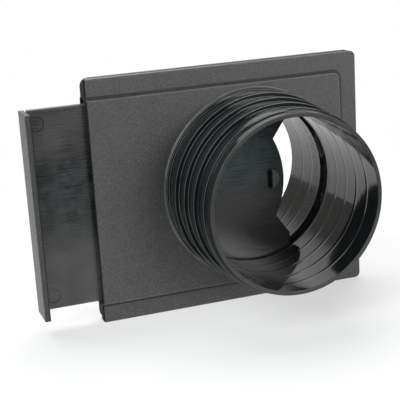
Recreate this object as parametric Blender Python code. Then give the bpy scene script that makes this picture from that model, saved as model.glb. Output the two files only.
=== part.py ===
"""Blast gate for a 100 mm dust duct: two moulded housing halves with ridged hose spigots, and a sliding gate.

The duct runs along Y and the gate slides along X. The world origin lies on the edge that the part stands on,
in the middle of the front half's lower edge and straight below the duct axis.
"""

import math

import bmesh
import bpy

MM = 0.001

# Hose spigots, turned about the duct axis
HOSE_RADIUS = 50.8 * MM  # crest nearest the rim: a 4 in hose pushes over it
SPIGOT_DEPTH = 3.8 * MM  # from that crest in to the bore
RIM_WALL = 2.3 * MM
CREST_TAPER = 1.1 * MM  # each crest back from the rim is this much larger in radius
GROOVE_DEPTH = 1.2 * MM
RIDGE_PITCH = 12.1 * MM
LAND_WIDTH = 5.4 * MM
LAND_SLOPE = 0.8 * MM  # run of the sloped back of a land
FIRST_CREST = 16.6 * MM  # from the panel's face to the first crest
COLLAR_LENGTH = 2.6 * MM
BASE_FILLET = 1.4 * MM
FRONT_RIDGES = 4
REAR_RIDGES = 2
FRONT_RIM_RUN = 6.3 * MM  # from the last crest to the rim
REAR_RIM_RUN = 10.0 * MM
SINK_DEPTH = 0.2 * MM  # shallow ring in the bore behind each ridge, where the thicker wall shrank
SINK_WIDTH = 3.0 * MM
SINK_SETBACK = 6.6 * MM  # from a crest back to its ring
EDGE = 0.4 * MM  # broken edges of crests, rims and plates
TURN_STEPS = 64

# Sliding gate
GATE_THICKNESS = 5.0 * MM
GATE_FLOOR_GAP = 0.4 * MM
GATE_TOP_GAP = 1.3 * MM
NOSE_OVERLAP = 2.0 * MM  # the nose's arc is this much larger than the bore
NOSE_ARC_HALF = 23.0 * MM  # half the height of the arc
PRONG_INNER_HALF = 34.6 * MM  # from the middle out to where a prong's end starts
PRONG_REACH = 2.5 * MM  # prong ends beyond the arc's tip
REST_OPENING = 29.0 * MM  # how far the gate stands open as modelled
OPEN_MARGIN = 1.0 * MM  # nose clear of the bore with the gate fully open
HANDLE_GAP = 1.9 * MM  # handle to housing with the gate shut
HANDLE_THICKNESS = 2.9 * MM
HANDLE_DEPTH = 19.0 * MM
HANDLE_TOP_DROP = 1.2 * MM  # handle's top below the plate's
HANDLE_FOOT_DROP = 4.5 * MM  # handle's foot below the plate's
CATCH_RADIUS = 6.1 * MM
CATCH_SETBACK = 9.0 * MM  # from the nose's tip back to the middle of the catch
CATCH_HEIGHT = 1.2 * MM
CATCH_DISH = 0.3 * MM
CATCH_SLOT_WIDTH = 2.7 * MM
CATCH_SLOT_HEIGHT = 9.9 * MM
CATCH_SLOT_DEPTH = 3.8 * MM  # from the plate's front face, so that it is blind
EJECTOR_RADIUS = 4.0 * MM
EJECTOR_DEPTH = 0.25 * MM
EJECTOR_INSET = 7.6 * MM  # from the plate's upper or lower edge to the mark's middle
EJECTOR_GAP = 0.1 * MM

# Housing halves, each measured outwards from the parting plane
HALF_DEPTH = 5.0 * MM
PANEL_RISE = 2.0 * MM
PANEL_WALL = 2.2 * MM
PANEL_SLOPE = 1.6 * MM  # run of the sloped step round the panel
PANEL_CORNER = 5.0 * MM
STRIP_WIDTH = 9.8 * MM
CHANNEL_MARGIN = 9.8 * MM  # channel's side beyond the bore
CHANNEL_SIDE_WALL = 2.4 * MM
CHANNEL_END_WALL = 5.0 * MM
GUIDE_LENGTH = 48.0 * MM  # mouth to bore, which holds the gate when it is fully open
NOSE_CLEARANCE = 0.5 * MM
MOUTH_CHAMFER = 1.7 * MM  # lead-in for the gate, on the channel's sides and inside the panel's edge
BODY_CORNER = 3.0 * MM
FRONT_MOUTH_CORNER = 1.5 * MM  # the front half's corners at the mouth are the squarer ones
REAR_MOUTH_CORNER = 4.5 * MM
RAIL_WIDTH = 2.0 * MM
RAIL_SETBACK = 5.4 * MM  # from the channel's side to the middle of a rail
RAIL_END_GAP = 5.0 * MM  # rail short of the mouth and of the channel's end
STOP_THICKNESS = 2.0 * MM  # the stop is as high as the catch's slot, less its clearance
SLIDE_CLEARANCE = 0.3 * MM
SEAM_GAP = 0.3 * MM
SEAM_WIDTH = 0.5 * MM  # shadow line round the parting plane, in each half
SEAM_DEPTH = 0.8 * MM
TONGUE_INSET = 4.4 * MM
TONGUE_WIDTH = 2.4 * MM
TONGUE_HEIGHT = 1.5 * MM
TONGUE_CLEARANCE = 0.3 * MM

OVERRUN = 1.0 * MM  # how far a joined or cutting shape runs past its face

# Sizes that follow from the ones above
bore_radius = HOSE_RADIUS - SPIGOT_DEPTH
nose_radius = bore_radius + NOSE_OVERLAP
nose_tip_rest = nose_radius - REST_OPENING
channel_half = bore_radius + CHANNEL_MARGIN
channel_end = nose_radius + PRONG_REACH + NOSE_CLEARANCE
channel_depth = HALF_DEPTH + PANEL_RISE - PANEL_WALL
panel_half = channel_half + CHANNEL_SIDE_WALL
panel_right = channel_end + CHANNEL_END_WALL
panel_face = HALF_DEPTH + PANEL_RISE
body_half = panel_half + STRIP_WIDTH
body_right = panel_right + STRIP_WIDTH
body_left = bore_radius + GUIDE_LENGTH
gate_bottom = GATE_FLOOR_GAP - channel_half
gate_top = channel_half - GATE_TOP_GAP
open_travel = nose_tip_rest + bore_radius + OPEN_MARGIN
rib_tip = GATE_THICKNESS / 2 + SLIDE_CLEARANCE

FRONT = -1
REAR = 1


def clear_scene():
    for obj in list(bpy.data.objects):
        bpy.data.objects.remove(obj, do_unlink=True)


def plastic(name, colour, roughness):
    material = bpy.data.materials.new(name)
    material.use_nodes = True
    shader = material.node_tree.nodes["Principled BSDF"]
    shader.inputs["Base Color"].default_value = (*colour, 1.0)
    shader.inputs["Roughness"].default_value = roughness
    shader.inputs["Metallic"].default_value = 0.0
    return material


def add_object(name, bm, parent, material=None):
    """Turns a bmesh into an object on its parent's frame, with its faces pointing out."""
    bmesh.ops.recalc_face_normals(bm, faces=bm.faces)
    mesh = bpy.data.meshes.new(name)
    bm.to_mesh(mesh)
    bm.free()
    obj = bpy.data.objects.new(name, mesh)
    bpy.context.scene.collection.objects.link(obj)
    obj.parent = parent
    if material:
        mesh.materials.append(material)
        mesh.shade_smooth()
        mesh.set_sharp_from_angle(angle=math.radians(30))
    return obj


def boolean(target, tool, operation):
    """Cuts tool from target, or joins it on, and leaves tool as a hidden helper."""
    modifier = target.modifiers.new(tool.name, "BOOLEAN")
    modifier.operation = operation
    modifier.object = tool
    tool.hide_render = True
    tool.display_type = "WIRE"


def arc(centre_x, centre_z, radius, start, end, steps):
    """Points along an arc in the XZ plane, with its angles in degrees."""
    points = []
    for i in range(steps + 1):
        angle = math.radians(start + (end - start) * i / steps)
        points.append((centre_x + radius * math.cos(angle), centre_z + radius * math.sin(angle)))
    return points


def plate_outline(left, right, half, left_corner, right_corner):
    """Outline of a plate, from its lower left corner and counter-clockwise, with rounded corners."""
    outline = []
    corners = (
        (left, -half, left_corner, 180),
        (right, -half, right_corner, 270),
        (right, half, right_corner, 0),
        (left, half, left_corner, 90),
    )
    for x, z, radius, start in corners:
        if radius == 0:
            outline.append((x, z))
            continue
        centre_x = x + math.copysign(radius, -x)
        centre_z = z + math.copysign(radius, -z)
        outline += arc(centre_x, centre_z, radius, start, start + 90, 4)
    return outline


def nose_outline(shift):
    """The gate's nose with the gate shut, moved along X by shift, from its lower prong to its upper one."""
    prong_end = nose_radius + PRONG_REACH + shift
    half_angle = math.degrees(math.asin(NOSE_ARC_HALF / nose_radius))
    middle = arc(shift, 0, nose_radius, -half_angle, half_angle, 10)
    return [(prong_end, -PRONG_INNER_HALF)] + middle + [(prong_end, PRONG_INNER_HALF)]


def prism(outline, low, high):
    """A closed prism on an outline in the XZ plane, between two places along Y."""
    bm = bmesh.new()
    face = bm.faces.new([bm.verts.new((x, low, z)) for x, z in outline])
    raised = bmesh.ops.extrude_face_region(bm, geom=[face])["geom"]
    top = [v for v in raised if isinstance(v, bmesh.types.BMVert)]
    bmesh.ops.translate(bm, verts=top, vec=(0, high - low, 0))
    return bm


def block(x_range, y_range, z_range):
    left, right = x_range
    bottom, top = z_range
    return prism([(left, bottom), (right, bottom), (right, top), (left, top)], *y_range)


def disc(x, z, radius, low, high, steps=32):
    return prism(arc(x, z, radius, 0, 360, steps)[:-1], low, high)


def turned(profile, side):
    """A solid of revolution about the duct axis, from (distance from the parting plane, radius) points."""
    bm = bmesh.new()
    line = [bm.verts.new((radius, side * distance, 0)) for distance, radius in profile]
    edges = [bm.edges.new(pair) for pair in zip(line, line[1:])]
    bmesh.ops.spin(
        bm,
        geom=line + edges,
        cent=(0, 0, 0),
        axis=(0, 1, 0),
        angle=math.tau,
        steps=TURN_STEPS,
        use_merge=True,
    )
    bmesh.ops.remove_doubles(bm, verts=bm.verts, dist=1e-7)
    return bm


def bevel_edges_at(bm, place, width):
    """Breaks the edges that lie wholly at one distance along Y."""
    edges = [e for e in bm.edges if all(abs(v.co.y - place) < 1e-7 for v in e.verts)]
    bmesh.ops.bevel(bm, geom=edges, offset=width, segments=1, profile=0.5, affect="EDGES")


def crest_places(ridges):
    """(distance from the panel's face, radius) of each crest, from the panel towards the rim."""
    return [
        (FIRST_CREST + i * RIDGE_PITCH, HOSE_RADIUS + (ridges - 1 - i) * CREST_TAPER)
        for i in range(ridges)
    ]


def spigot_profile(ridges, rim_run):
    """Outside of a spigot: base fillet, collar, ridges that drop to a groove on their rim side, and rim."""
    crests = crest_places(ridges)
    collar_radius = crests[0][1]
    base_radius = collar_radius + BASE_FILLET
    profile = [(-OVERRUN, 0), (-OVERRUN, base_radius)]
    for i in range(4):
        angle = math.radians(30 * i)
        profile.append((BASE_FILLET * (1 - math.cos(angle)), base_radius - BASE_FILLET * math.sin(angle)))
    profile += [(COLLAR_LENGTH - EDGE, collar_radius), (COLLAR_LENGTH, collar_radius - EDGE)]
    before = COLLAR_LENGTH
    for place, radius in crests:
        groove = radius - GROOVE_DEPTH
        land_start = place - LAND_WIDTH
        profile += [
            (before, groove),
            (land_start, groove),
            (land_start + LAND_SLOPE, radius),
            (place - EDGE, radius),
            (place, radius - EDGE),
        ]
        before = place
    rim = before + rim_run
    rim_radius = bore_radius + RIM_WALL
    profile.append((before, HOSE_RADIUS - GROOVE_DEPTH))
    profile += [(rim - EDGE, rim_radius), (rim, rim_radius - EDGE), (rim, 0)]
    return [(panel_face + distance, radius) for distance, radius in profile]


def bore_profile(ridges, rim_run):
    """Inside of a spigot, as a cutter, with a shallow ring behind each ridge."""
    profile = [(-panel_face - OVERRUN, 0), (-panel_face - OVERRUN, bore_radius)]
    for place, _ in crest_places(ridges):
        ring = place - SINK_SETBACK
        profile += [
            (ring - SINK_WIDTH / 2, bore_radius),
            (ring, bore_radius + SINK_DEPTH),
            (ring + SINK_WIDTH / 2, bore_radius),
        ]
    rim = place + rim_run
    profile += [
        (rim - EDGE, bore_radius),
        (rim, bore_radius + EDGE),
        (rim + OVERRUN, bore_radius + EDGE),
        (rim + OVERRUN, 0),
    ]
    return [(panel_face + distance, radius) for distance, radius in profile]


def flange_slab(side):
    """Flat plate from the parting plane to the strips' face, with the shadow line round its parting edge."""
    bm = bmesh.new()
    mouth_corner = FRONT_MOUTH_CORNER if side == FRONT else REAR_MOUTH_CORNER
    outline = plate_outline(-body_left, body_right, body_half, mouth_corner, BODY_CORNER)
    face = bm.faces.new([bm.verts.new((x, side * HALF_DEPTH, z)) for x, z in outline])
    steps = ((HALF_DEPTH - SEAM_GAP / 2 - SEAM_WIDTH, 0), (SEAM_WIDTH, SEAM_DEPTH))
    for drop, inset in steps:
        if inset:
            bmesh.ops.inset_region(bm, faces=[face], thickness=inset, use_even_offset=True)
        moved = bmesh.ops.extrude_face_region(bm, geom=[face])["geom"]
        if inset:
            bmesh.ops.delete(bm, geom=[face], context="FACES_ONLY")
        verts = [v for v in moved if isinstance(v, bmesh.types.BMVert)]
        bmesh.ops.translate(bm, verts=verts, vec=(0, -side * drop, 0))
        face = next(f for f in moved if isinstance(f, bmesh.types.BMFace))
    bevel_edges_at(bm, side * HALF_DEPTH, EDGE)
    return bm


def raised_panel(side):
    """Panel over the channel, with a sloped step on three sides and flush with the mouth on the fourth."""
    base = plate_outline(-body_left, panel_right, panel_half, 0, PANEL_CORNER)
    top_right = panel_right - PANEL_SLOPE
    top_half = panel_half - PANEL_SLOPE
    top = plate_outline(-body_left, top_right, top_half, 0, PANEL_CORNER - PANEL_SLOPE)
    bm = prism(base, side * (HALF_DEPTH - OVERRUN), side * HALF_DEPTH)
    bm.faces.ensure_lookup_table()
    lid = next(f for f in bm.faces if all(abs(v.co.y - side * HALF_DEPTH) < 1e-7 for v in f.verts))
    moved = bmesh.ops.extrude_face_region(bm, geom=[lid])["geom"]
    bmesh.ops.delete(bm, geom=[lid], context="FACES_ONLY")
    for vert in [v for v in moved if isinstance(v, bmesh.types.BMVert)]:
        nearest = min(range(len(base)), key=lambda i: math.dist(base[i], (vert.co.x, vert.co.z)))
        vert.co = (top[nearest][0], side * panel_face, top[nearest][1])
    return bm


def channel_cutter(side):
    """Room for the gate, from the flared mouth to an end wall shaped like the gate's nose."""
    flare = channel_half + MOUTH_CHAMFER + OVERRUN
    outside = -body_left - OVERRUN
    inside = MOUTH_CHAMFER - body_left
    outline = [(outside, -flare), (inside, -channel_half), (channel_end, -channel_half)]
    outline += nose_outline(NOSE_CLEARANCE)
    outline += [(channel_end, channel_half), (inside, channel_half), (outside, flare)]
    return prism(outline, -side * OVERRUN, side * channel_depth)


def mouth_cutter(side):
    """Wedge across the mouth, which thins the panel's edge on the gate's side."""
    x_range = (-body_left - OVERRUN, MOUTH_CHAMFER - body_left)
    bm = block(x_range, (0, side * channel_depth), (-channel_half, channel_half))
    for vert in bm.verts:
        if vert.co.x < -body_left and vert.co.y * side > 0:
            vert.co.y += side * (MOUTH_CHAMFER + OVERRUN)
    return bm


def tongue_band(clearance):
    """U-shaped outline in the strips, above, below and beyond the channel, grown by a clearance."""
    left = RAIL_END_GAP - body_left - clearance
    right = body_right - TONGUE_INSET + clearance
    half = body_half - TONGUE_INSET + clearance
    width = TONGUE_WIDTH + 2 * clearance
    return [
        (left, -half),
        (right, -half),
        (right, half),
        (left, half),
        (left, half - width),
        (right - width, half - width),
        (right - width, width - half),
        (left, width - half),
    ]


def build_half(name, side, ridges, rim_run, parent, material):
    """One housing half: flange, panel and spigot in one moulding, hollowed for the gate and the duct."""
    half = add_object(name, flange_slab(side), parent, material)

    def tool(kind, bm, operation):
        boolean(half, add_object(f"{name}_{kind}", bm, parent), operation)

    tool("panel", raised_panel(side), "UNION")
    tool("spigot", turned(spigot_profile(ridges, rim_run), side), "UNION")
    tool("channel", channel_cutter(side), "DIFFERENCE")
    tool("mouth", mouth_cutter(side), "DIFFERENCE")
    tool("bore", turned(bore_profile(ridges, rim_run), side), "DIFFERENCE")
    rib_range = (side * rib_tip, side * (channel_depth + OVERRUN))
    rail_x = (RAIL_END_GAP - body_left, channel_end - RAIL_END_GAP)
    for label, middle in (("upper", channel_half - RAIL_SETBACK), ("lower", RAIL_SETBACK - channel_half)):
        rail_z = (middle - RAIL_WIDTH / 2, middle + RAIL_WIDTH / 2)
        tool(f"{label}_rail", block(rail_x, rib_range, rail_z), "UNION")
    if side == FRONT:
        stop_x = nose_tip_rest - CATCH_SETBACK + CATCH_SLOT_WIDTH / 2 - open_travel - SLIDE_CLEARANCE
        stop_half = CATCH_SLOT_HEIGHT / 2 - SLIDE_CLEARANCE
        tool("stop", block((stop_x - STOP_THICKNESS, stop_x), rib_range, (-stop_half, stop_half)), "UNION")
        groove_depth = TONGUE_HEIGHT + TONGUE_CLEARANCE
        groove = prism(tongue_band(TONGUE_CLEARANCE), OVERRUN, -groove_depth)
        tool("groove", groove, "DIFFERENCE")
    else:
        tongue = prism(tongue_band(0), SEAM_GAP / 2 + OVERRUN, -TONGUE_HEIGHT)
        tool("tongue", tongue, "UNION")
    return half


def gate_plate():
    """The gate's plate, measured from the middle of its nose's arc, with the edges of both faces broken."""
    left = -body_left - HANDLE_GAP
    prong_end = nose_radius + PRONG_REACH
    outline = [(left, gate_bottom), (prong_end, gate_bottom)] + nose_outline(0)
    outline += [(prong_end, gate_top), (left, gate_top)]
    bm = prism(outline, -GATE_THICKNESS / 2, GATE_THICKNESS / 2)
    for face in (-GATE_THICKNESS / 2, GATE_THICKNESS / 2):
        bevel_edges_at(bm, face, EDGE)
    return bm


def gate_handle():
    """Flat bar across the end of the plate, a little lower than the plate at its top and its foot."""
    right = -body_left - HANDLE_GAP + EDGE
    left = -body_left - HANDLE_GAP - HANDLE_THICKNESS
    depth = (-HANDLE_DEPTH / 2, HANDLE_DEPTH / 2)
    bm = block((left, right), depth, (gate_bottom - HANDLE_FOOT_DROP, gate_top - HANDLE_TOP_DROP))
    bmesh.ops.bevel(bm, geom=bm.edges[:], offset=EDGE, segments=1, profile=0.5, affect="EDGES")
    return bm


def catch_half(raised):
    """Half of the round catch: dished before the slot, and raised beyond it, where it meets the stop."""
    middle = nose_radius - CATCH_SETBACK
    start, end = (-90, 90) if raised else (90, 270)
    front = -GATE_THICKNESS / 2
    half_disc = arc(middle, 0, CATCH_RADIUS, start, end, 16)
    if not raised:
        return prism(half_disc, front - OVERRUN, front + CATCH_DISH)
    bm = prism(half_disc, front + OVERRUN, front - CATCH_HEIGHT)
    bevel_edges_at(bm, front - CATCH_HEIGHT, EDGE)
    return bm


def build_gate(parent, material):
    """The sliding gate, whose origin is the middle of its nose's arc."""
    gate = add_object("slide_gate", gate_plate(), parent, material)
    gate.location.x = -REST_OPENING

    def tool(kind, bm, operation):
        boolean(gate, add_object(f"gate_{kind}", bm, gate), operation)

    front = -GATE_THICKNESS / 2
    catch_middle = nose_radius - CATCH_SETBACK
    slot_x = (catch_middle - CATCH_SLOT_WIDTH / 2, catch_middle + CATCH_SLOT_WIDTH / 2)
    slot_y = (front - CATCH_HEIGHT - OVERRUN, front + CATCH_SLOT_DEPTH)
    tool("handle", gate_handle(), "UNION")
    tool("catch_dish", catch_half(False), "DIFFERENCE")
    tool("catch", catch_half(True), "UNION")
    tool("catch_slot", block(slot_x, slot_y, (-CATCH_SLOT_HEIGHT / 2, CATCH_SLOT_HEIGHT / 2)), "DIFFERENCE")
    mark_x = EJECTOR_RADIUS + EJECTOR_GAP - body_left - HANDLE_GAP
    for label, mark_z in (("upper", gate_top - EJECTOR_INSET), ("lower", gate_bottom + EJECTOR_INSET)):
        mark = disc(mark_x, mark_z, EJECTOR_RADIUS, front - OVERRUN, front + EJECTOR_DEPTH)
        tool(f"{label}_mark", mark, "DIFFERENCE")
    return gate


def main():
    clear_scene()
    duct_axis = bpy.data.objects.new("duct_axis", None)
    bpy.context.scene.collection.objects.link(duct_axis)
    duct_axis.location = (0, HALF_DEPTH / 2, body_half)
    charcoal = plastic("charcoal_grained", (0.035, 0.036, 0.038), 0.45)
    satin_black = plastic("black_satin", (0.03, 0.031, 0.034), 0.35)
    build_half("front_housing", FRONT, FRONT_RIDGES, FRONT_RIM_RUN, duct_axis, charcoal)
    build_half("rear_housing", REAR, REAR_RIDGES, REAR_RIM_RUN, duct_axis, charcoal)
    build_gate(duct_axis, satin_black)


main()
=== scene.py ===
# %% [markdown]
# # A moulded blast gate, dressed for the camera
#
# A blast gate sits in the duct of a workshop's dust extraction and shuts one branch of it with a sliding
# plate. This one is black plastic: two flat housing halves, each with a ridged hose spigot, and a plate gate
# with a bar handle that stands part open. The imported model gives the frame, so everything below is placed in
# its metres: X along the slide, Y along the duct, and Z up from the edge that the housing stands on.

# %% The frame
import math

import bmesh
import bpy
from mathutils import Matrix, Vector


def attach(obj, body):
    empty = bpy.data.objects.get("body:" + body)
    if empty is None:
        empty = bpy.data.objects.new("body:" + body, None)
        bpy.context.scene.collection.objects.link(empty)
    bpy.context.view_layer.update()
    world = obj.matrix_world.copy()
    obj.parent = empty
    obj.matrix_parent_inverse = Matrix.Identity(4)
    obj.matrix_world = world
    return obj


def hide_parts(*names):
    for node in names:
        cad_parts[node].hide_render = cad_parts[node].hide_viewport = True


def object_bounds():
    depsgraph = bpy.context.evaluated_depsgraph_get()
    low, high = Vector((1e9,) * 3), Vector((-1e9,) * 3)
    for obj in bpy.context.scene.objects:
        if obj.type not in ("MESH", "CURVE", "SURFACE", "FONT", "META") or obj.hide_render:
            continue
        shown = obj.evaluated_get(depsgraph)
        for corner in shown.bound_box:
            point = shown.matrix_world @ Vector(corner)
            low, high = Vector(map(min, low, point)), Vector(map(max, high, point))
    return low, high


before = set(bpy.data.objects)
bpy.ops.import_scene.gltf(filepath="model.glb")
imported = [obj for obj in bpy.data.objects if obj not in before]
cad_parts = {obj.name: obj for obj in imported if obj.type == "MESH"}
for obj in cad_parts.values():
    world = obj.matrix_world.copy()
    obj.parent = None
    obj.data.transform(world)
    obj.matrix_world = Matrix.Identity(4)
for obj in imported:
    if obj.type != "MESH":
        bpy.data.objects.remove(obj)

MM = 0.001
cad_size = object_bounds()
low, high = [[round(value / MM, 1) for value in corner] for corner in cad_size]
print("packed model reaches from", low, "to", high)

# %% [markdown]
# ## The camera
#
# The duct mouth is a circle, and the panel's long edges are parallel. Fitting a plain pinhole to those lines
# and circles gives where the camera stood: half a metre off, to the left of the duct and a little above it,
# with a longish lens. The camera was rolled a few degrees, which is why no upright edge is quite upright.

# %% Camera
camera_data = bpy.data.cameras.new("camera")
camera_data.sensor_width = 36.0
camera_data.lens = 97.344
camera_data.clip_start = 0.01
camera = bpy.data.objects.new("camera", camera_data)
camera.location = (-0.22584, -0.56414, 0.21901)
camera.rotation_euler = [math.radians(angle) for angle in (75.2476, 3.4444, -19.8189)]
bpy.context.scene.collection.objects.link(camera)
bpy.context.scene.camera = camera
print("camera at", tuple(round(v, 3) for v in camera.location))

# %% [markdown]
# ## Sizes that the pieces share
#
# The spigots are turned shapes, and every ring on them is a distance along the duct and a radius. They are the
# same values as in the solid model, so that a hose would still fit. Two things differ. The number of steps
# round the duct is higher here, because gloss black shows every flat, and the sink rings in the bore are half
# as deep. That depth was chosen so that the lines they draw stay faint.

# %% Shared sizes
DUCT = Vector((0, 2.5 * MM, 69 * MM))
PARTING = DUCT.y
PANEL_FACE = 7.0 * MM
BORE = 47.0 * MM
RIM_WALL = 2.3 * MM
HOSE_RADIUS = 50.8 * MM
CREST_TAPER = 1.1 * MM
RIDGE_PITCH = 12.1 * MM
FIRST_CREST = 16.6 * MM
LAND_WIDTH = 5.4 * MM
LAND_SLOPE = 0.8 * MM
GROOVE_DEPTH = 1.2 * MM
COLLAR_LENGTH = 2.6 * MM
BASE_FILLET = 1.4 * MM
FILLET_STEPS = 4
SINK_DEPTH = 0.10 * MM
SINK_WIDTH = 3.0 * MM
SINK_SETBACK = 6.6 * MM
SINK_STEPS = 5
INNER_END = -2.15 * MM
TURN_STEPS = 240
FRONT, REAR = -1, 1


def show(name, bm, body, node, smooth_angle):
    """Turns a bmesh into a finished piece that rides on a body and stands for a node of the frame."""
    bmesh.ops.recalc_face_normals(bm, faces=bm.faces)
    mesh = bpy.data.meshes.new(name)
    bm.to_mesh(mesh)
    bm.free()
    mesh.shade_smooth()
    mesh.set_sharp_from_angle(angle=math.radians(smooth_angle))
    piece = bpy.data.objects.new(name, mesh)
    bpy.context.scene.collection.objects.link(piece)
    weighted = piece.modifiers.new("flat faces stay flat", "WEIGHTED_NORMAL")
    weighted.keep_sharp = True
    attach(piece, body)
    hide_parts(node)
    print(name, "has", len(mesh.polygons), "faces")
    return piece


def round_edges(bm, edges, width, segments, clamp):
    """Bevels the edges to a small round and returns its faces."""
    made = bmesh.ops.bevel(
        bm, geom=edges, offset=width, segments=segments, profile=0.5,
        affect="EDGES", material=-1, clamp_overlap=clamp,
    )
    return made["faces"]


print("hose", 2 * HOSE_RADIUS / MM, "mm across, bore", 2 * BORE / MM, "mm across")

# %% [markdown]
# ## The hose spigots
#
# A ridged spigot is one lathe shape: a collar against the panel, ridges that a hose slides over and then
# grips behind, and a thin rim. So it starts as a half section, which needs only a distance and a radius for
# each corner. The plastic is thicker at each ridge and shrinks there as it cools, which leaves a shallow ring
# in the bore. In gloss plastic those rings draw the fine lines of light.

# %% Spigot section
def ridge_places(ridges):
    """(distance from the panel's face, radius) of each crest, from the panel towards the rim."""
    places = []
    for i in range(ridges):
        places.append((FIRST_CREST + i * RIDGE_PITCH, HOSE_RADIUS + (ridges - 1 - i) * CREST_TAPER))
    return places


def outside_section(crests, rim_run):
    """The outside from the collar's fillet over the ridges to the rim, as (distance, radius)."""
    collar = crests[0][1]
    section = [(INNER_END, collar + BASE_FILLET), (0, collar + BASE_FILLET)]
    for i in range(1, FILLET_STEPS + 1):
        turn = math.radians(90 / FILLET_STEPS * i)
        section.append((BASE_FILLET * (1 - math.cos(turn)), collar + BASE_FILLET * (1 - math.sin(turn))))
    section.append((COLLAR_LENGTH, collar))
    before = COLLAR_LENGTH
    for place, radius in crests:
        groove = radius - GROOVE_DEPTH
        land = place - LAND_WIDTH
        section += [(before, groove), (land, groove), (land + LAND_SLOPE, radius), (place, radius)]
        before = place
    rim = before + rim_run
    return section + [(before, HOSE_RADIUS - GROOVE_DEPTH), (rim, BORE + RIM_WALL)]


def bore_section(crests, rim):
    """The bore from the rim back to the gate's channel, with a shallow sink ring behind each ridge."""
    section = [(rim, BORE)]
    for place, _ in reversed(crests):
        for i in range(SINK_STEPS, -SINK_STEPS - 1, -1):
            dip = 0.5 + 0.5 * math.cos(math.pi * i / SINK_STEPS)
            along = place - SINK_SETBACK + i / (2 * SINK_STEPS) * SINK_WIDTH
            section.append((along, BORE + dip * SINK_DEPTH))
    return section + [(INNER_END, BORE)]


print("front crests at", [round(place / MM, 1) for place, _ in ridge_places(4)], "mm from the panel")

# %% [markdown]
# ## Turning the section
#
# One full spin round the duct axis makes the section a closed ring of plastic, and a bevel then rounds every
# ring-shaped edge between two faces that meet at a real angle. A hose rubs the crests' rounds pale and wears
# the rim's end dull, and the crests' rounds are painted paler still as a highlight, so the faces there get
# material slots of their own, and so does the bore. They are told apart by how far they lie from the duct axis
# and along it.

# %% Spigots
OUTSIDE, INSIDE, CREST, RIM = range(4)
RING_ROUND = 0.5 * MM
RING_TURN = math.radians(20)
LEVEL = 1e-7
BORE_BAND = 0.3 * MM
CREST_BAND = 0.4 * MM
RIM_BAND = 0.6 * MM


def from_axis(face):
    """How far a face lies from the duct axis."""
    return (face.calc_center_median() - DUCT).xz.length


def is_ring_edge(edge):
    """True for an edge that runs round the duct between two faces at an angle."""
    level = abs(edge.verts[0].co.y - edge.verts[1].co.y) < LEVEL
    return level and len(edge.link_faces) == 2 and edge.calc_face_angle() > RING_TURN


def spigot(name, side, ridges, rim_run, node):
    """The section spun round the duct, with its ring edges rounded."""
    bm = bmesh.new()
    crests = ridge_places(ridges)
    outside = outside_section(crests, rim_run)
    ring = [
        bm.verts.new((DUCT.x + radius, PARTING + side * (PANEL_FACE + distance), DUCT.z))
        for distance, radius in outside + bore_section(crests, outside[-1][0])
    ]
    edges = [bm.edges.new(pair) for pair in zip(ring, ring[1:] + ring[:1])]
    bmesh.ops.spin(
        bm, geom=ring + edges, cent=DUCT, axis=(0, 1, 0), angle=math.tau, steps=TURN_STEPS, use_merge=True
    )
    bmesh.ops.remove_doubles(bm, verts=bm.verts, dist=LEVEL)
    bmesh.ops.recalc_face_normals(bm, faces=bm.faces)
    rings = [edge for edge in bm.edges if is_ring_edge(edge)]
    rounds = round_edges(bm, rings, RING_ROUND, 4, True)
    rim = max((vert.co.y - PARTING) * side for vert in bm.verts)
    for face in bm.faces:
        along = (face.calc_center_median().y - PARTING) * side
        face.material_index = INSIDE if from_axis(face) < BORE + BORE_BAND else OUTSIDE
        if along > rim - RIM_BAND and from_axis(face) > BORE + 0.1 * MM:
            face.material_index = RIM
    for face in rounds:
        # crest rounds take the worn edge finish, painted paler as a highlight
        if from_axis(face) > HOSE_RADIUS - CREST_BAND and 0.05 < face.normal.y * side < 0.95:
            face.material_index = CREST
    return show(name, bm, "housing", node, 60)


front_spigot = spigot("front_spigot", FRONT, 4, 6.3 * MM, "front_housing")
rear_spigot = spigot("rear_spigot", REAR, 2, 10.0 * MM, "rear_housing")

# %% [markdown]
# ## The housing plates
#
# Each plate is a flat flange with a raised panel over the gate's channel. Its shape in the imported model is
# already right down to the channel, the rails and the tongue that joins the halves. So a copy of that mesh is
# merged, and bisected just under the panel's face, which takes the coarse spigot off. The cut is filled as
# one flat face with the bore's hole in it and moved out to the panel's face. A moulded edge is never sharp,
# so the outer edges get a small round bevel, which draws the fine light lines round the panel.

# %% Housing plates
GRAIN, MILLED, EDGE, SHADE = range(4)
CUT_DEPTH = 0.05 * MM
PANEL_ROUND = 0.25 * MM
SHARP_TURN = math.radians(30)
FLANGE_BAND = 4.5 * MM  # sharp edges further out than this from the parting are the flange's and the panel's
PANEL_BAND = 6.0 * MM  # and further out than this they are the panel's
SPIGOT_REACH = 52 * MM
MOUTH_DEPTH = -93.2 * MM  # faces left of this line the gate's mouth
MOUTH_EDGE = -94.0 * MM  # and rounds left of this lie along its lip


def merged(node):
    """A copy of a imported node's mesh as one closed skin."""
    bm = bmesh.new()
    bm.from_mesh(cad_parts[node].data)
    bmesh.ops.remove_doubles(bm, verts=bm.verts, dist=1e-6)
    return bm


def is_outer_edge(edge, side):
    """True for a sharp edge of the flange or the panel that can be seen from outside."""
    return (
        all((vert.co.y - PARTING) * side > FLANGE_BAND for vert in edge.verts)
        and len(edge.link_faces) == 2
        and edge.calc_face_angle() > SHARP_TURN
        and min((vert.co - DUCT).xz.length for vert in edge.verts) > SPIGOT_REACH
    )


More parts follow.
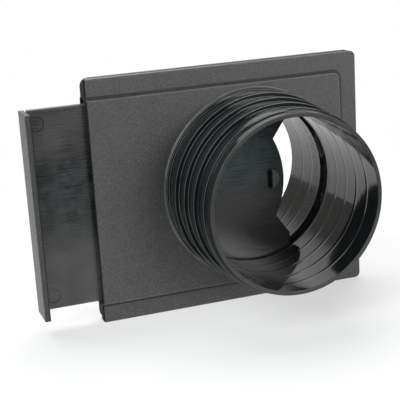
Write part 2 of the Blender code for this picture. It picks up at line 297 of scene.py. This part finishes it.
def plate(name, node, side):
    """A copy of a housing half without its spigot, with its outer edges rounded."""
    bm = merged(node)
    face_y = PARTING + side * PANEL_FACE
    cut = face_y - side * CUT_DEPTH
    geometry = bm.verts[:] + bm.edges[:] + bm.faces[:]
    bmesh.ops.bisect_plane(
        bm, geom=geometry, dist=LEVEL, plane_co=(0, cut, 0), plane_no=(0, side, 0), clear_outer=True
    )
    bmesh.ops.triangle_fill(bm, edges=[edge for edge in bm.edges if edge.is_boundary], use_beauty=True)
    for vert in bm.verts:
        if abs(vert.co.y - cut) < LEVEL:
            vert.co.y = face_y
    bmesh.ops.dissolve_limit(bm, angle_limit=math.radians(0.5), verts=bm.verts, edges=bm.edges)
    bmesh.ops.recalc_face_normals(bm, faces=bm.faces)
    outer = [edge for edge in bm.edges if is_outer_edge(edge, side)]
    rounds = round_edges(bm, outer, PANEL_ROUND, 3, False)
    for face in bm.faces:
        middle = face.calc_center_median()
        raised = (middle.y - PARTING) * side
        face.material_index = GRAIN if face.normal.y * side > 0.98 else MILLED
        # faces inside the gate's mouth take the near-black painted shade
        if middle.x < MOUTH_DEPTH and raised < PANEL_FACE - 0.01 * MM:
            face.material_index = SHADE
    for face in rounds:
        middle = face.calc_center_median()
        on_panel = (middle.y - PARTING) * side > PANEL_BAND
        # rounds along the mouth's lip take the painted shade; the panel's rounds take the pale finish with a
        # painted highlight
        face.material_index = SHADE if middle.x < MOUTH_EDGE else EDGE if on_panel else GRAIN
    return show(name, bm, "housing", node, 30)


front_plate = plate("front_plate", "front_housing", FRONT)
rear_plate = plate("rear_plate", "rear_housing", REAR)

# %% [markdown]
# ## Shader expressions
#
# A finish is mostly arithmetic on noise. Written as nodes alone it is hard to read, so one small class wraps
# a socket and turns Python's operators into Math nodes, also with the number on the left, as in 1 - mask.
# Every other node comes in through one method, which takes its type, its settings and its inputs.

# %% Socket class
class Socket:
    """An output socket that can be used in a Python expression."""

    def __init__(self, finish, socket):
        self.finish = finish
        self.socket = socket

    def math(self, operation, *values, clamp=False):
        settings = {"operation": operation, "use_clamp": clamp}
        return self.finish.node("ShaderNodeMath", settings, dict(enumerate(values)))

    def __add__(self, other):
        return self.math("ADD", self, other)

    def __sub__(self, other):
        return self.math("SUBTRACT", self, other)

    def __rsub__(self, other):
        return self.math("SUBTRACT", other, self)

    def __mul__(self, other):
        return self.math("MULTIPLY", self, other)

    def __pow__(self, other):
        return self.math("POWER", self, other)

    def __abs__(self):
        return self.math("ABSOLUTE", self)

    __radd__ = __add__
    __rmul__ = __mul__

    def at_least(self, other):
        return self.math("MAXIMUM", self, other)

    def clamped(self):
        return self.math("ADD", self, 0.0, clamp=True)


print("socket class ready")

# %% [markdown]
# ## A finish and its helpers
#
# A finish is one material. Its helpers are named for what they do on the part: a step from one zone to the
# next, a thin line at a given place, a distance from a point on the gate. All of them read Object
# coordinates, so a pattern stays on its piece when the gate slides. Black plastic is never quite neutral, so
# its colours come from two functions: a grey that may be a little warm, and a dark teal.

# %% Finish class
class Finish:
    """A material whose nodes are added by expressions."""

    def __init__(self, name):
        self.material = bpy.data.materials.new(name)
        self.material.use_nodes = True
        self.tree = self.material.node_tree
        self.shader = self.tree.nodes["Principled BSDF"]
        self.place = self.node("ShaderNodeTexCoord", {}, {}, "Object")

    def node(self, kind, settings, inputs, output=0):
        """Adds a node: its settings first, then a value or a link for each input, and returns one output."""
        node = self.tree.nodes.new(kind)
        for key, value in settings.items():
            setattr(node, key, value)
        for key, value in inputs.items():
            self.feed(node.inputs[key], value)
        return Socket(self, node.outputs[output])

    def feed(self, target, value):
        """Links a socket to an input, or sets the input's own value."""
        if isinstance(value, Socket):
            self.tree.links.new(value.socket, target)
        else:
            target.default_value = value

    def set(self, **values):
        """Feeds the main shader, with spaces in its socket names written as underscores."""
        for key, value in values.items():
            self.feed(self.shader.inputs[key.replace("_", " ")], value)

    def along(self, axis):
        """The place along one of the object's axes."""
        return self.node("ShaderNodeSeparateXYZ", {}, {0: self.place}, axis)

    def from_point(self, x, z):
        """Distance from a point, seen along the duct."""
        seen = self.node("ShaderNodeVectorMath", {"operation": "MULTIPLY"}, {0: self.place, 1: (1, 0, 1)})
        return self.node("ShaderNodeVectorMath", {"operation": "DISTANCE"}, {0: seen, 1: (x, 0, z)}, "Value")

    def ray(self, kind):
        """1 for one kind of light ray."""
        return self.node("ShaderNodeLightPath", {}, {}, kind)

    def stretched(self, scale):
        """Object coordinates scaled along each axis."""
        return self.node("ShaderNodeMapping", {}, {"Vector": self.place, "Scale": scale})

    def noise(self, vector, scale, detail, roughness):
        inputs = {"Vector": vector, "Scale": scale, "Detail": detail, "Roughness": roughness}
        return self.node("ShaderNodeTexNoise", {}, inputs)

    def step(self, value, low, high):
        """0 below low and 1 above high, with a smooth change between them."""
        inputs = {"Value": value, "From Min": low, "From Max": high}
        return self.node("ShaderNodeMapRange", {"interpolation_type": "SMOOTHSTEP"}, inputs)

    def line(self, value, place, core, edge):
        """1 where a value is within core of a place, and 0 where it is more than edge away."""
        return 1 - self.step(abs(value - place), core, edge)

    def blend(self, mask, first, second):
        """The first colour where the mask is 0, and the second where it is 1."""
        return self.node("ShaderNodeMix", {"data_type": "RGBA"}, {0: mask, 6: first, 7: second}, 2)

    def bump(self, height, depth):
        return self.node("ShaderNodeBump", {}, {"Height": height, "Distance": depth, "Strength": 1.0})


def grey(value, warmth=0.0):
    """A near-neutral colour, warmer by a small share."""
    return (value * (1 + warmth), value, value * (1 - warmth), 1.0)


def teal(value, share=1.0):
    """A dark colour with the blue-green cast that polished black plastic has."""
    return (value * (1 - 0.24 * share), value, value * (1 + 0.03 * share), 1.0)


print("finish class ready")

# %% [markdown]
# ## Grained plastic of the plates
#
# The mould of the flat faces is spark-eroded, which prints a fine pebble grain on the plastic, well under a
# millimetre. It breaks the gloss up, so the faces look charcoal grey though the plastic is black. The grain is
# noise at two sizes, used for the bump and a little for the colour. A pale line is painted along the top of
# the panel's sloped step as a highlight. Dark lines are painted as shade along its foot and along the panel's
# left edge at the mouth.

# %% Grained finish
STEP_RIGHT = 57.0 * MM
STEP_HALF_HEIGHT = 59.2 * MM
STEP_CORNER = 5.0 * MM
STEP_RUN = 1.9 * MM


def panel_step(finish):
    """1 along the foot of the panel's sloped step, where shade is painted, and 1 along its top, where a
    highlight is painted.
    """
    across = (finish.along("X") - (STEP_RIGHT - STEP_CORNER)).at_least(0.0)
    up = (abs(finish.along("Z") - DUCT.z) - (STEP_HALF_HEIGHT - STEP_CORNER)).at_least(0.0)
    outwards = (across * across + up * up) ** 0.5
    # painted shade along the step's foot, and a painted highlight along its top
    foot_shade = finish.line(outwards, STEP_CORNER, 0.20 * MM, 0.60 * MM)
    top_highlight = finish.line(outwards, STEP_CORNER - STEP_RUN, 0.15 * MM, 0.45 * MM)
    return foot_shade, top_highlight


def grained():
    finish = Finish("grained_black")
    coarse = finish.noise(finish.place, 1700, 2.0, 0.6)
    fine = finish.noise(finish.place, 4200, 1.0, 0.5)
    cloud = finish.noise(finish.place, 22, 3.0, 0.55)
    pebble = coarse * 0.65 + fine * 0.35
    foot_shade, top_highlight = panel_step(finish)
    # painted shade along the panel's left edge at the gate's mouth
    lip_shade = 1 - finish.step(finish.along("X"), -94.3 * MM, -94.1 * MM)
    colour = finish.blend(finish.step(pebble, 0.35, 0.65), grey(0.010), grey(0.080, 0.01))
    colour = finish.blend(finish.step(cloud, 0.3, 0.7) * 0.35, colour, grey(0.062, -0.01))
    # the painted highlight on the step's top, then the painted shade at its foot and at the mouth's edge
    colour = finish.blend(top_highlight * 0.5, colour, grey(0.11))
    colour = finish.blend(foot_shade.at_least(lip_shade) * 0.9, colour, grey(0.004))
    finish.set(
        Base_Color=colour,
        Roughness=0.38 + pebble * 0.14 + lip_shade * 0.4,
        Normal=finish.bump(pebble, 0.10 * MM),
    )
    return finish.material


grained_black = grained()
print("grain drawn with", len(grained_black.node_tree.nodes), "nodes")

# %% [markdown]
# ## The plates' other faces
#
# The side walls and the step's slope come from milled faces of the mould, so they are smoother than the grain.
# The rounds of the panel's edges are rubbed pale by wear and painted paler still as a highlight, and so are
# the crests of the spigots' ridges, which share that finish. The inside of the gate's mouth is painted
# near-black as the deep shade it lies in.

# %% Milled, rubbed and shaded finishes
def milled():
    finish = Finish("moulded_black")
    cloud = finish.noise(finish.place, 160, 3.0, 0.55)
    finish.set(
        Base_Color=finish.blend(cloud, grey(0.030), grey(0.050, -0.01)),
        Roughness=0.22 + cloud * 0.16,
        Normal=finish.bump(cloud, 0.05 * MM),
    )
    return finish.material


def worn_highlit():
    finish = Finish("worn_highlit_edge")
    patches = finish.step(finish.noise(finish.place, 90, 3.0, 0.6), 0.35, 0.65)
    finish.set(
        # paler than the grain: wear, and a painted highlight along the edge
        Base_Color=finish.blend(patches, grey(0.045), grey(0.095, 0.01)),
        Roughness=0.30 + patches * 0.12,
        Normal=finish.bump(patches, 0.02 * MM),
    )
    return finish.material


def shaded():
    finish = Finish("shaded_channel")
    cloud = finish.noise(finish.place, 160, 3.0, 0.55)
    finish.set(
        # near-black colour: painted shade of the deep channel
        Base_Color=finish.blend(cloud, grey(0.002), grey(0.004)),
        Roughness=0.5 + cloud * 0.1,
        Specular_IOR_Level=0.1,
    )
    return finish.material


worn_highlit_edge = worn_highlit()
plate_finishes = {GRAIN: grained_black, MILLED: milled(), EDGE: worn_highlit_edge, SHADE: shaded()}
for piece in (front_plate, rear_plate):
    for index in sorted(plate_finishes):
        piece.data.materials.append(plate_finishes[index])
print("finishes on", front_plate.name, "and", rear_plate.name)

# %% [markdown]
# ## Gloss plastic of the spigots
#
# The spigots come from polished turned cores, so they keep the moulding's gloss. The lathe leaves rings too
# fine to see one by one, which drag every highlight round the duct, and the flow of the melt leaves faint
# clouds in the sheen. The outside has lost a little of its gloss to handling, and the rim's end more. The
# rear bore carries scuffs from chips in the air stream: short lines round the duct with small specks between
# them, and next to the gate's gap, where the chips strike, pits with pale dust in them.

# %% Gloss finish
PITS_FULL = 13 * MM
PITS_END = 23 * MM


def gloss(name, sheen, scuffs, haze=0.0):
    """Gloss plastic of a given roughness, with a share of scuffs and a pale haze from handling."""
    finish = Finish(name)
    rings = finish.noise(finish.stretched((14, 900, 14)), 1.0, 2.0, 0.6)
    ragged = finish.noise(finish.stretched((180, 520, 180)), 1.0, 1.0, 0.5)
    cloud = finish.noise(finish.place, 45, 3.0, 0.6)
    scratch = finish.step(finish.noise(finish.stretched((60, 1500, 60)), 1.0, 4.0, 0.7), 0.45, 0.75)
    specks = finish.step(finish.noise(finish.place, 420, 2.0, 0.5), 0.66, 0.72)
    near_gap = 1 - finish.step(finish.along("Y"), PITS_FULL, PITS_END)
    chips = finish.noise(finish.place, 1300, 2.0, 0.6)
    pits = finish.step(chips, 0.48, 0.56) * near_gap * scuffs
    dust = finish.step(chips, 0.57, 0.63) * near_gap * scuffs
    black = finish.blend(cloud, teal(0.003 + haze * 0.6), teal(0.007 + haze))
    worn = (scratch * 0.15 + specks * 0.3) * scuffs + pits * 0.6
    relief = ragged * 0.8 + rings * 0.7 + cloud * 0.3 + (scratch + specks) * scuffs
    finish.set(
        Base_Color=finish.blend(dust, black, grey(0.20)),
        Roughness=sheen + rings * 0.05 + cloud * 0.05 + worn,
        Normal=finish.bump(relief, (0.01 + 0.015 * scuffs) * MM),
    )
    return finish.material


def worn_end():
    finish = Finish("worn_rim")
    cloud = finish.noise(finish.place, 120, 3.0, 0.6)
    finish.set(
        Base_Color=finish.blend(cloud, grey(0.012), grey(0.036, 0.01)),
        Roughness=0.26 + cloud * 0.14,
        Normal=finish.bump(cloud, 0.03 * MM),
    )
    return finish.material


worn_rim = worn_end()
gloss_outside = gloss("gloss_outside", 0.06, 0.0, 0.005)
for piece, scuffs in ((front_spigot, 0.0), (rear_spigot, 0.7)):
    gloss_bore = gloss(piece.name + "_bore", 0.03, scuffs)
    spigot_finishes = {OUTSIDE: gloss_outside, INSIDE: gloss_bore, CREST: worn_highlit_edge, RIM: worn_rim}
    for index in sorted(spigot_finishes):
        piece.data.materials.append(spigot_finishes[index])
print("gloss on", front_spigot.name, "and", rear_spigot.name)

# %% [markdown]
# ## Marks on the gate
#
# Some marks on the gate are fine lines with hardly any depth, so they are drawn in its finish, not modelled.
# The ejector pins leave a ring at each of the two marks by the handle, and the mould's parting leaves a line
# beside the plate's top edge and one along the handle. The round catch has a dark ring painted as the shade
# along its edge, and a paler right half painted as a highlight.

# %% Gate marks
EJECTOR_X = -121.8 * MM
EJECTOR_HEIGHTS = (116.9 * MM, 20.2 * MM)
EJECTOR_RADIUS = 4.0 * MM
HANDLE_LINE = -124.5 * MM
TOP_LINE = 122.7 * MM
CATCH_X = 11 * MM
CATCH_MIDDLE = 12.3 * MM
CATCH_RADIUS = 6.2 * MM


def gate_lines(finish, across, up):
    """1 along the rings of the ejector pins and the lines of the mould's parting."""
    lines = 0.0
    for height in EJECTOR_HEIGHTS:
        off_centre = finish.from_point(EJECTOR_X, height)
        lines = lines + finish.line(off_centre, EJECTOR_RADIUS, 0.05 * MM, 0.35 * MM)
    for value, place in ((across, HANDLE_LINE), (up, TOP_LINE)):
        lines = lines + finish.line(value, place, 0.05 * MM, 0.30 * MM) * 0.8
    return lines.clamped()


def catch_marks(finish, across):
    """1 on the catch's right half, painted paler as a highlight, and 1 along the ring round it, painted dark
    as shade.
    """
    off_centre = finish.from_point(CATCH_X, DUCT.z)
    within = 1 - finish.step(off_centre, CATCH_RADIUS - 0.4 * MM, CATCH_RADIUS - 0.2 * MM)
    right_half = finish.step(across, CATCH_MIDDLE - 0.1 * MM, CATCH_MIDDLE + 0.1 * MM)
    return within * right_half, finish.line(off_centre, CATCH_RADIUS, 0.15 * MM, 0.45 * MM)


print("marks at", len(EJECTOR_HEIGHTS), "ejector pins")

# %% [markdown]
# ## Satin plastic of the gate
#
# The gate is a flat plate that slides in its channel, so its faces carry fine level streaks from the melt and
# from use. Noise stretched along the slide gives them, and they show most over the middle of its height, where
# the plate is bluer and mottled. The disc that shuts the bore is painted darker than the plate outside as
# shade, and darker below and bluer above as painted reflections. The bar handle has the same pebble grain as
# the housing, and the narrow strip on its front is painted dark as shade, most of all along its edges.

# %% Satin finish
HANDLE_SIDE = -125.75 * MM
STRIP_MIDDLE = -127.35 * MM


def handle_masks(finish, across, deep):
    """1 on the bar handle, and the strength of the painted shade on the strip along its front."""
    handle = 1 - finish.step(across, HANDLE_SIDE - 0.1 * MM, HANDLE_SIDE + 0.1 * MM)
    strip = handle * (1 - finish.step(deep, -6.95 * MM, -6.80 * MM))
    off_middle = 1 - finish.line(across, STRIP_MIDDLE, 0.85 * MM, 1.20 * MM)
    return handle, strip * (0.6 + off_middle * 0.4)


def plate_colour(finish, across, up, cloud, smear):
    """The plate's greys, its bluer mottled middle, and the disc inside the housing with painted shade and
    painted reflections.
    """
    patch = finish.step(finish.noise(finish.place, 120, 3.0, 0.6), 0.35, 0.65)
    mottle = smear * 0.4 + patch * 0.5
    wavy = up + cloud * (16 * MM)
    # a bluer, mottled band over the middle of the plate's height
    mid_height_band = finish.step(wavy, 48 * MM, 70 * MM) * (1 - finish.step(wavy, 98 * MM, 122 * MM))
    # the disc inside the housing: painted darker as shade, with painted reflections darker below and bluer
    # above
    inside = finish.step(across + cloud * (20 * MM), -84 * MM, -34 * MM)
    upper = finish.step(up + cloud * (24 * MM), 64 * MM, 92 * MM)
    plain = finish.blend(finish.step(cloud, 0.3, 0.7), grey(0.026, 0.03), grey(0.062, 0.03))
    outer = finish.blend(mid_height_band, plain, finish.blend(mottle, teal(0.002, 1.6), teal(0.040, 0.7)))
    blue = finish.blend(mottle, teal(0.010, 2.4), teal(0.052, 1.8))
    disc_shade_and_reflection = finish.blend(upper, grey(0.017, 0.06), blue)
    return finish.blend(inside, outer, disc_shade_and_reflection)


def satin():
    finish = Finish("satin_black")
    across, deep, up = [finish.along(axis) for axis in "XYZ"]
    streaks = finish.noise(finish.stretched((60, 260, 2600)), 1.0, 3.0, 0.65)
    smear = finish.step(streaks, 0.35, 0.65)
    cloud = finish.noise(finish.place, 30, 3.0, 0.55)
    pebble = finish.noise(finish.place, 1700, 2.0, 0.6)
    handle, front_strip_shade = handle_masks(finish, across, deep)
    pale_half_highlight, catch_ring_shade = catch_marks(finish, across)
    grain = finish.blend(finish.step(pebble, 0.38, 0.62), grey(0.010), grey(0.105))
    colour = plate_colour(finish, across, up, cloud, smear)
    # painted highlight on the catch's right half
    colour = finish.blend(pale_half_highlight, colour, teal(0.075, 0.8))
    # painted shade along the ring round the catch
    colour = finish.blend(catch_ring_shade, colour, grey(0.002))
    colour = finish.blend(handle, colour, grain)
    # painted shade on the handle's front strip, darkest along its edges
    colour = finish.blend(front_strip_shade, colour, grey(0.003))
    colour = finish.blend(gate_lines(finish, across, up) * (1 - handle), colour, grey(0.002))
    finish.set(
        Base_Color=colour,
        Roughness=0.21 + smear * 0.11 + cloud * 0.06 + handle * 0.15,
        Normal=finish.bump(streaks * (1 - handle) * 0.5 + pebble * handle * 6.0, 0.05 * MM),
    )
    return finish.material


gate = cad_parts["slide_gate"]
gate.data.materials.clear()
gate.data.materials.append(satin())
print("satin on", gate.name)

# %% [markdown]
# ## The table
#
# The photograph was taken on a white table. The floor is a pale sheet that ends in front of the part. To the
# camera and to reflections it glows white, except close round the part, where a share of the lit paper shows
# through and keeps the soft shadow.

# %% Floor
TABLE_FRONT = 0.24
TABLE_HALF = 3.0
TABLE_FADE = 0.06
SHADOW_NEAR, SHADOW_FAR = 0.13, 0.36
SHADOW_SHARE = 0.46


def white_paper():
    """Paper that is white to the eye and keeps the shadow near the part."""
    paper = Finish("paper")
    seen = paper.ray("Is Camera Ray")
    mirrored = paper.ray("Is Glossy Ray") + paper.ray("Is Transmission Ray")
    away = paper.node("ShaderNodeVectorMath", {"operation": "LENGTH"}, {0: paper.place}, "Value")
    on_table = paper.step(paper.along("Y"), -TABLE_FRONT, TABLE_FADE - TABLE_FRONT)
    near_part = 1 - paper.step(away, SHADOW_NEAR, SHADOW_FAR)
    white_share = 1 - on_table * near_part * SHADOW_SHARE
    paper.set(Base_Color=grey(0.90), Roughness=0.9, Specular_IOR_Level=0.0)
    glow = paper.node("ShaderNodeEmission", {}, {"Color": (1, 1, 1, 1), "Strength": 1.0})
    lit = Socket(paper, paper.shader.outputs[0])
    share = (seen + mirrored).clamped() * white_share
    mixed = paper.node("ShaderNodeMixShader", {}, {0: share, 1: lit, 2: glow})
    paper.feed(paper.tree.nodes["Material Output"].inputs["Surface"], mixed)
    return paper.material


bm = bmesh.new()
bmesh.ops.create_grid(bm, x_segments=1, y_segments=1, size=TABLE_HALF)
bmesh.ops.translate(bm, verts=bm.verts, vec=(0, TABLE_HALF - TABLE_FRONT, 0))
floor_mesh = bpy.data.meshes.new("floor")
bm.to_mesh(floor_mesh)
bm.free()
floor_mesh.materials.append(white_paper())
floor = bpy.data.objects.new("floor", floor_mesh)
bpy.context.scene.collection.objects.link(floor)
print("floor", floor.name)

# %% [markdown]
# ## The room
#
# A black gloss part shows whatever stands round it, so the room is dim, with a few pale patches: a wall at
# the right, a reflector at the left for the ridges, and windows behind for the bore. Each patch is a
# direction, and its mask grows from 0 to 1 as a ray comes nearer to it. The layers lie on each other in the
# order given. A diffuse ray meets none of them, only a dim grey, and the camera itself sees plain white.

# %% World
class Studio(Finish):
    """The world's nodes, added by the same expressions."""

    def __init__(self, name):
        self.material = bpy.data.worlds.new(name)
        self.material.use_nodes = True
        self.tree = self.material.node_tree
        self.tree.nodes.clear()
        self.place = self.node("ShaderNodeTexCoord", {}, {}, "Generated")

    def toward(self, direction, low, high):
        """0 to 1 as the light comes from nearer a direction."""
        inputs = {0: self.place, 1: direction}
        share = self.node("ShaderNodeVectorMath", {"operation": "DOT_PRODUCT"}, inputs, "Value")
        return self.step(share, low, high)


studio = Studio("studio")
height = studio.along("Z")
behind = studio.toward((0.32, 0.95, 0.0), -0.2, 0.4)
right_wall = studio.toward((0.80, -0.58, 0.15), 0.70, 0.98)
low_window = studio.toward((0.05, 0.93, 0.37), 0.935, 0.985)
ceiling = studio.step(height, 0.80, 0.92)
high_window = studio.toward((0.30, 0.48, 0.82), 0.93, 0.97)
reflector = studio.toward((-0.90, -0.15, 0.40), 0.35, 0.75)
reflector_lamp = studio.toward((-0.68, -0.36, 0.64), 0.87, 0.98)
below = 1 - studio.step(height, -0.05, 0.0)
room = studio.blend(behind, grey(0.20, -0.08), grey(0.30, 0.05))
for patch, patch_colour in (
    (right_wall, grey(1.4)),
    (low_window, grey(1.1)),
    (ceiling, grey(0.08)),
    (high_window, grey(4.0)),
    (reflector, teal(1.0, 0.6)),
    (reflector_lamp, grey(6.5, -0.02)),
    (below, grey(0.06)),
):
    room = studio.blend(patch, room, patch_colour)
room = studio.blend(studio.ray("Is Diffuse Ray"), room, grey(0.08))
room = studio.blend(studio.ray("Is Camera Ray"), room, grey(1.0))
light = studio.node("ShaderNodeBackground", {}, {"Color": room, "Strength": 1.0})
output = studio.tree.nodes.new("ShaderNodeOutputWorld")
studio.feed(output.inputs["Surface"], light)
bpy.context.scene.world = studio.material
print("world nodes", len(studio.tree.nodes))

# %% [markdown]
# ## The lamps
#
# Two large area lamps give the soft light. One hangs overhead, a little behind the part, and lights the top
# edges and the table. The other stands at the front right, low enough that the spigot shades the panel at its
# left a little, and high enough that the gate's disc in the bore doesn't mirror it. A grey card that faces the
# front or the left renders near its written value under them, and one that faces up renders clearly brighter.

# %% Soft boxes
def soft_box(name, place, aim, size, power):
    """An area lamp that looks at a point."""
    data = bpy.data.lights.new(name, "AREA")
    data.shape = "RECTANGLE"
    data.size, data.size_y = size
    data.energy = power
    lamp = bpy.data.objects.new(name, data)
    lamp.location = place
    lamp.rotation_euler = (Vector(aim) - Vector(place)).to_track_quat("-Z", "Y").to_euler()
    bpy.context.scene.collection.objects.link(lamp)


soft_box("back_box", place=(0.0, 0.55, 1.35), aim=(0, 0, 0.05), size=(1.4, 0.8), power=18.0)
soft_box("key_box", place=(0.60, -1.46, 0.44), aim=(0, 0, 0.07), size=(0.75, 0.55), power=13.5)
print("two area lamps")

# %% [markdown]
# ## The view
#
# The Standard view puts no tone curve of its own on the colours.

# %% View
bpy.context.scene.view_settings.view_transform = "Standard"
